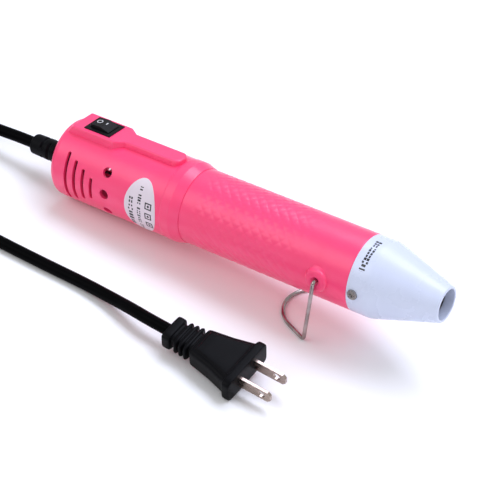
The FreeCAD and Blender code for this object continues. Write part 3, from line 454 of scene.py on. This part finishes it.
def print_on(finish, mask, ink):
    """Lay ink over the finish's own colour where the mask is 1."""
    under = finish.shader.inputs["Base Color"].links[0].from_socket
    finish.set(Base_Color=finish.blend(mask, under, ink))


def make_nozzle_finish():
    """White plastic with a short arc of printed blocks behind the mouth's upper right side."""
    finish = moulded("white heat-proof plastic", (0.63, 0.68, 0.84), (0.605, 0.655, 0.82), 0.27,
                     grain=2400.0, depth=0.00002)
    place, degrees = round_the_tool(finish)
    arc = printed_row(finish, place[0], degrees, 5.2, 20.1, 11.0, 1.7, 1.7, 13.0, 32.0)
    print_on(finish, arc, (0.02, 0.02, 0.025))
    return finish


def make_label_finish():
    """White sticker: two rows of printed blocks and three plain signs in the third."""
    finish = moulded("white label", (0.76, 0.67, 0.74), (0.72, 0.63, 0.70), 0.42,
                     grain=3000.0, depth=0.00001)
    place, degrees = round_the_tool(finish)
    radius = 21.8
    round_way = finish.math("MULTIPLY", degrees, radius * math.pi / 180)
    marks = printed_row(finish, place[0], degrees, -129.0, radius, 1.0, 1.7, 2.1, -12.5, 5.5)
    second = printed_row(finish, place[0], degrees, -123.8, radius, 7.0, 1.15, 1.5, -15.0, 12.5)
    marks = finish.math("MAXIMUM", marks, second)
    third_x = finish.math("SUBTRACT", place[0], -118.0)
    for centre in (3.5, -2.5, -8.5):
        y = finish.math("SUBTRACT", round_way, centre)
        sign = bar_mask(finish, third_x, y, 2.1, 1.9)
        hollow = bar_mask(finish, third_x, y, 1.4, 1.2)
        outline = finish.math("SUBTRACT", sign, hollow)
        middle = ring_mask(finish, third_x, y, 0.0, 0.7)
        marks = finish.math("MAXIMUM", marks, finish.math("MAXIMUM", outline, middle))
    print_on(finish, marks, (0.012, 0.012, 0.014))
    return finish


ROCKER_RING = (-165.8, 0.5)
ROCKER_BAR = (-161.3, 0.7)
ROCKER_TOP = 25.2


def make_rocker_finish():
    """Black switch plastic with the usual white ring at one end and a short bar at the other."""
    finish = moulded("black rocker plastic", (0.006, 0.006, 0.007), (0.010, 0.010, 0.011), 0.30,
                     Specular_IOR_Level=0.12)
    place = finish.add("SeparateXYZ", _0=use_group(finish, TOOL_PLACE)["Vector"]).outputs
    ring = ring_mask(finish, *away_from(finish, place, ROCKER_RING), 1.4, 0.26)
    bar = bar_mask(finish, *away_from(finish, place, ROCKER_BAR), 0.26, 0.95)
    top = finish.math("GREATER_THAN", place[2], ROCKER_TOP)
    print_on(finish, finish.math("MULTIPLY", top, finish.math("MAXIMUM", ring, bar)), (0.55, 0.56, 0.58))
    return finish


PINK = (1.0, 0.050, 0.190)
PINK_DEEP = (0.98, 0.043, 0.172)
pink = moulded("pink plastic", PINK, PINK_DEEP, 0.34, Coat_Weight=0.35, Coat_Roughness=0.38,
               Subsurface_Weight=0.10, Subsurface_Radius=(1.0, 0.35, 0.4), Subsurface_Scale=0.0015)
white = make_nozzle_finish()
black_plastic = moulded("black switch plastic", (0.006, 0.006, 0.007), (0.009, 0.009, 0.010), 0.32,
                        Specular_IOR_Level=0.10)
rocker_black = make_rocker_finish()
black_rubber = moulded("black moulded rubber", (0.0022, 0.0022, 0.003), (0.004, 0.004, 0.005), 0.38,
                       grain=1500.0, Specular_IOR_Level=0.06)
cord_skin = moulded("black cord sheath", (0.0010, 0.0010, 0.0012), (0.002, 0.002, 0.0024), 0.38, 2200.0,
                    Specular_IOR_Level=0.02)
strap = moulded("black strap", (0.008, 0.008, 0.009), (0.014, 0.014, 0.015), 0.62, 900.0, 0.0001,
                Specular_IOR_Level=0.2)
paper_label = make_label_finish()
nylon = moulded("natural nylon", (0.70, 0.66, 0.55), (0.62, 0.58, 0.48), 0.45)
ferrite = moulded("ferrite", (0.03, 0.03, 0.032), (0.045, 0.045, 0.045), 0.55, 700.0)
varnished = moulded("varnished iron", (0.20, 0.09, 0.035), (0.13, 0.06, 0.03), 0.35, 600.0, 0.00008)
board = moulded("brown laminate", (0.06, 0.025, 0.012), (0.045, 0.02, 0.01), 0.4, 1200.0)
diode = moulded("diode case", (0.015, 0.015, 0.016), (0.03, 0.03, 0.03), 0.35)
lead_red = moulded("red insulation", (0.5, 0.02, 0.015), (0.4, 0.015, 0.012), 0.4)
lead_black = moulded("black insulation", (0.015, 0.015, 0.018), (0.025, 0.025, 0.028), 0.4)
fan_plastic = moulded("black fan plastic", (0.02, 0.02, 0.022), (0.03, 0.03, 0.03), 0.4)
mica = moulded("mica sheet", (0.42, 0.34, 0.22), (0.52, 0.44, 0.32), 0.28, 400.0, 0.00006, 220.0)
steel = drawn_metal("bright steel", (0.62, 0.62, 0.64), (0.52, 0.52, 0.54), 0.24, (1, 1, 0.1))
screw_steel = drawn_metal("zinc-plated steel", (0.48, 0.46, 0.43), (0.34, 0.32, 0.30), 0.25, (1, 0.2, 1))
# Painted reflection: both colours of the stand's spring wire are darkened and tinted dark red to stand
# for the dark and pink surroundings that it reflects.
wire_steel = drawn_metal("plated spring wire", (0.46, 0.40, 0.39), (0.30, 0.25, 0.24), 0.14,
                         (0.3, 0.3, 0.08))
nickel = drawn_metal("nickel blade", (0.52, 0.41, 0.36), (0.42, 0.33, 0.29), 0.26, (0.08, 1, 1), 1100.0)
brass = drawn_metal("brass tab", (0.60, 0.42, 0.16), (0.50, 0.34, 0.12), 0.3, (0.1, 1, 1))
bronze = drawn_metal("sintered bronze", (0.36, 0.19, 0.08), (0.28, 0.15, 0.07), 0.5, (1, 1, 1), 1500.0)
sheet_metal = drawn_metal("rolled sheet", (0.60, 0.60, 0.62), (0.45, 0.44, 0.46), 0.35, (0.1, 1, 1))
heat_wire = drawn_metal("resistance wire", (0.20, 0.17, 0.15), (0.30, 0.22, 0.17), 0.45, (1, 1, 1))

dress(pink, "rear_housing", "grip_tube", "motor_mount")
dress(white, "nozzle_cone")
dress(screw_steel, "nozzle_screws", "clamp_screws", "motor_screws")
dress(paper_label, "rating_label")
dress(black_plastic, "switch_frame", "cord_clamp", "motor_end_cap")
dress(rocker_black, "switch_rocker")
dress(brass, "switch_terminals", "motor_terminals")
dress(black_rubber, "cord_gland", "plug_body")
dress(cord_skin, "cord_inner")
dress(nylon, "rear_spacer")
dress(steel, "motor_can", "motor_shaft")
dress(ferrite, "motor_magnets")
dress(bronze, "motor_bushes")
dress(varnished, "motor_armature")
dress(fan_plastic, "fan")
dress(board, "rectifier_board")
dress(diode, "diodes")
dress(lead_red, "live_lead", "switched_lead", "heater_leads")
dress(lead_black, "neutral_lead")
dress(mica, "element_former", "mica_sleeve", "front_spacer")
dress(sheet_metal, "heat_shield", "outlet_cone", "thermal_fuse")
dress(heat_wire, "heating_coil")
dress(wire_steel, "wire_stand")
dress(strap, "coil_tie")
dress(nickel, "plug_blades")
cord.data.materials.append(cord_skin.material)

# ------------------------------------------------------------ surfaces worked out on grids

def grid_faces(rows, columns, rows_closed=False):
    """Quads over rows of points that each close on themselves, numbered row by row."""
    row = np.arange(rows if rows_closed else rows - 1)
    row, column = np.meshgrid(row, np.arange(columns), indexing="ij")
    below = row * columns
    above = (row + 1) % rows * columns
    after = (column + 1) % columns
    quads = np.stack([below + column, below + after, above + after, above + column], axis=-1)
    return quads.reshape(-1, 4)


def eased(rows, reach, rounds=2):
    """Rounded corners: every run keeps the points at reach from its ends, its corners are dropped,
    and then each edge is cut at its quarters."""
    rows = np.asarray(rows, float)
    run = np.diff(rows, axis=0)
    length = np.maximum(np.hypot(run[:, 0], run[:, 1]), 1e-9)
    share = np.minimum(reach / length, 0.5)[:, None]
    ends = np.stack([rows[:-1] + run * share, rows[1:] - run * share], axis=1)
    path = np.concatenate([rows[:1], ends.reshape(-1, rows.shape[1]), rows[-1:]])
    for _ in range(rounds):
        step = np.diff(path, axis=0)
        cuts = np.stack([path[:-1] + 0.25 * step, path[:-1] + 0.75 * step], axis=1)
        path = np.concatenate([path[:1], cuts.reshape(-1, rows.shape[1]), path[-1:]])
    return path


def make_piece(name, points, faces, body, finish, *replaced):
    """A closed smooth mesh from an array of room points; it rides on a body, for some CAD nodes."""
    mesh = bpy.data.meshes.new(name)
    mesh.from_pydata(points.reshape(-1, 3).tolist(), [], faces.tolist())
    shape = bmesh.new()
    shape.from_mesh(mesh)
    bmesh.ops.remove_doubles(shape, verts=shape.verts, dist=1e-7)
    bmesh.ops.recalc_face_normals(shape, faces=shape.faces)
    shape.to_mesh(mesh)
    shape.free()
    mesh.shade_smooth()
    mesh.materials.append(finish.material)
    piece = bpy.data.objects.new(name, mesh)
    bpy.context.scene.collection.objects.link(piece)
    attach(piece, body)
    if replaced:
        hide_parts(*replaced)
    return piece


# ------------------------------------------------------------ barrel

BARREL_RADIUS = 20.1
KNURL_PITCH = 5.8
KNURL_COUNT = 22
KNURL_HEIGHT = 0.21
REAR_SPIGOT = [(-108.0, 18.0), (-108.0, 19.55), (-107.8, 19.6), (-99.98, 19.6),
               (-99.98, 20.05), (-99.9, 20.1)]
FRONT_SPIGOT = [(-0.1, 20.0), (-0.05, 19.85), (-0.05, 18.0), (8.0, 18.0),
                (8.0, 16.1), (-4.0, 16.1), (-6.0, 18.0)]


def knurl(x, turn):
    """Height of the barrel's low diamonds: with two slanting waves u = x / pitch + count * turn and
    v = x / pitch - count * turn, each diamond rises as the square root of |sin(pi u) sin(pi v)|.
    It fades out at both ends of the barrel."""
    u = x / KNURL_PITCH + KNURL_COUNT * turn / (2 * math.pi)
    v = x / KNURL_PITCH - KNURL_COUNT * turn / (2 * math.pi)
    diamond = np.sqrt(np.abs(np.sin(math.pi * u) * np.sin(math.pi * v)))
    ends = np.clip((x + 95.0) / 5.0, 0, 1) * np.clip((-24.0 - x) / 16.0, 0, 1)
    return KNURL_HEIGHT * (diamond - 0.6) * ends


def make_barrel():
    """A tube turned about the tool's axis, knurled outside: y = -r cos(turn), z = r sin(turn)."""
    outside = [(x, BARREL_RADIUS) for x in np.linspace(-99.5, -0.4, 245)]
    profile = np.array(REAR_SPIGOT + outside + FRONT_SPIGOT)
    turn = np.linspace(0, 2 * math.pi, 352, endpoint=False)
    x, around = np.meshgrid(profile[:, 0], turn, indexing="ij")
    radius = np.repeat(profile[:, 1:], len(turn), axis=1)
    outer = (radius == BARREL_RADIUS)
    radius = radius + np.where(outer, knurl(x, around), 0.0)
    points = np.stack([x, -radius * np.cos(around), radius * np.sin(around)], axis=-1)
    faces = grid_faces(len(profile), len(turn), rows_closed=True)
    return make_piece("barrel", in_room(points), faces, "tool", pink, "grip_tube")


def make_boss(side):
    """A rounded boss with a dished hole, turned about the stand's pivot line: the profile gives
    distance from the line and height out from the tool's axis."""
    profile = eased([(1.06, 18.4), (1.06, 20.55), (1.3, 20.6), (2.3, 21.5), (2.9, 21.62), (4.9, 21.6),
                     (5.9, 21.2), (6.1, 20.3), (6.5, 19.6), (7.4, 18.9), (7.4, 18.4), (1.06, 18.4)], 0.35)
    turn = np.linspace(0, 2 * math.pi, 96, endpoint=False)
    away, around = np.meshgrid(profile[:, 0], turn, indexing="ij")
    out = np.repeat(profile[:, 1:], len(turn), axis=1)
    points = np.stack([-PIVOT_BACK + away * np.cos(around), side * out, away * np.sin(around)], axis=-1)
    faces = grid_faces(len(profile), len(turn), rows_closed=True)
    name = "left_boss" if side > 0 else "right_boss"
    return make_piece(name, in_room(points), faces, "tool", pink)


make_barrel()
for side in (-1, 1):
    make_boss(side)

# ------------------------------------------------------------ cord gland

GLAND_DROP = 2.6


def make_gland():
    """A tapered sleeve about its own line below the tool's axis.  Its rings are parted by grooves
    that run only part of the way round, alternate ones turned a quarter, so that webs join them."""
    flange = [(-181.0, 3.26), (-179.9, 3.26), (-179.9, 8.3), (-181.9, 8.3), (-181.9, 5.7), (-184.1, 5.7)]
    sleeve_x = np.linspace(-184.1, -210.6, 90)
    share = (-184.1 - sleeve_x) / 26.5
    sleeve = np.stack([sleeve_x, 6.3 - 0.65 * share], axis=1)
    sleeve[-3:, 1] = (5.6, 5.45, 5.0)
    profile = np.concatenate([flange, sleeve, [(-210.7, 4.6), (-210.7, 3.26)]])
    turn = np.linspace(0, 2 * math.pi, 144, endpoint=False)
    x, around = np.meshgrid(profile[:, 0], turn, indexing="ij")
    radius = np.repeat(profile[:, 1:], len(turn), axis=1)
    cells = (-186.6 - x) / 4.6
    index = np.floor(cells)
    across = np.abs(cells - index - 0.5) * 4.6
    groove = np.clip((0.95 - across) / 0.35, 0, 1) * ((index >= 0) & (index < 4)) * (radius > 5.0)
    webs = np.clip((np.abs(np.cos(around + index * math.pi / 2)) - 0.30) / 0.12, 0, 1)
    radius = radius - 1.25 * groove * webs
    points = np.stack([x, -radius * np.cos(around), radius * np.sin(around) - GLAND_DROP], axis=-1)
    faces = grid_faces(len(profile), len(turn), rows_closed=True)
    return make_piece("gland", in_room(points), faces, "tool", black_rubber, "cord_gland")


make_gland()

# ------------------------------------------------------------ plug

PLUG_HOLES = (0.07646, -0.0710, 0.00955)
PLUG_TURN = Matrix.Rotation(math.radians(12), 3, "X")
# Stations along the plug: x, half width, half height and how square the outline is.
CORE = (6.0, 3.8, 5)
END_BLOCK = [(-58.5, 0, 0, 6), (-58.5, 7.9, 4.9, 6), (-53.7, 7.9, 4.9, 6), (-53.7, *CORE)]
RIBS = ((-51.4, 8.2), (-48.3, 8.5), (-45.2, 8.8))
BELL = [(-41, *CORE), (-41, 9.0, 5.7, 6), (-34.5, 10.0, 6, 6), (-28, 11.3, 6, 6), (-22, 13.0, 6, 6),
        (-17, 14.4, 6, 6)]
FLANGE = [(-17, 16.2, 6.6, 7), (-12.5, 16.2, 6.6, 7), (-12.5, 0, 0, 7)]
PANEL_X = [-41, -34.5, -28, -22, -17]
PANEL_HALF = [6.1, 7.2, 8.6, 10.3, 11.7]
PANEL_HEIGHT = 0.7


def from_plug(points):
    """Plug millimetres, x = 0 at the blades' holes, to room metres."""
    return np.asarray(points, float) @ np.array(PLUG_TURN).T * MM + np.array(PLUG_HOLES)


def rib_stations(x, half):
    """A rib 1.9 wide round the core."""
    return [(x, *CORE), (x + 0.1, half, 4.6, 5), (x + 1.8, half, 4.6, 5), (x + 1.9, *CORE)]


def make_plug():
    """Rounded rectangles along the plug: at each station y = half width * |cos|^(2/n) and
    z = half height * |sin|^(2/n), with their signs.  Top and underside carry a raised panel."""
    ribs = [station for rib in RIBS for station in rib_stations(*rib)]
    stations = END_BLOCK + ribs + BELL + FLANGE
    rows = eased(stations, 0.6, 3)
    fine = np.linspace(0, len(rows) - 1, 560)
    table = np.stack([np.interp(fine, np.arange(len(rows)), rows[:, i]) for i in range(4)], axis=1)
    keep = np.concatenate([[True], np.hypot(*np.diff(table[:, :2], axis=0).T) > 1e-6])
    table = table[keep]
    turn = np.linspace(0, 2 * math.pi, 160, endpoint=False)
    power = 2 / table[:, 3:]
    across = np.sign(np.cos(turn)) * np.abs(np.cos(turn)) ** power * table[:, 1:2]
    height = np.sign(np.sin(turn)) * np.abs(np.sin(turn)) ** power * table[:, 2:3]
    x = np.repeat(table[:, :1], len(turn), axis=1)
    edge = np.interp(x, PANEL_X, PANEL_HALF)
    panel = np.clip((edge - np.abs(across)) / 0.5, 0, 1) * np.clip((x + 39.0) / 0.6, 0, 1) * (x < -16.5)
    flat = np.abs(height) > 0.8 * np.maximum(table[:, 2:3], 1e-6)
    height = height + np.sign(height) * PANEL_HEIGHT * panel * flat
    points = np.stack([x, across, height], axis=-1)
    faces = grid_faces(len(table), len(turn))
    return make_piece("plug", from_plug(points), faces, "tool", black_rubber, "plug_body")


plug = make_plug()
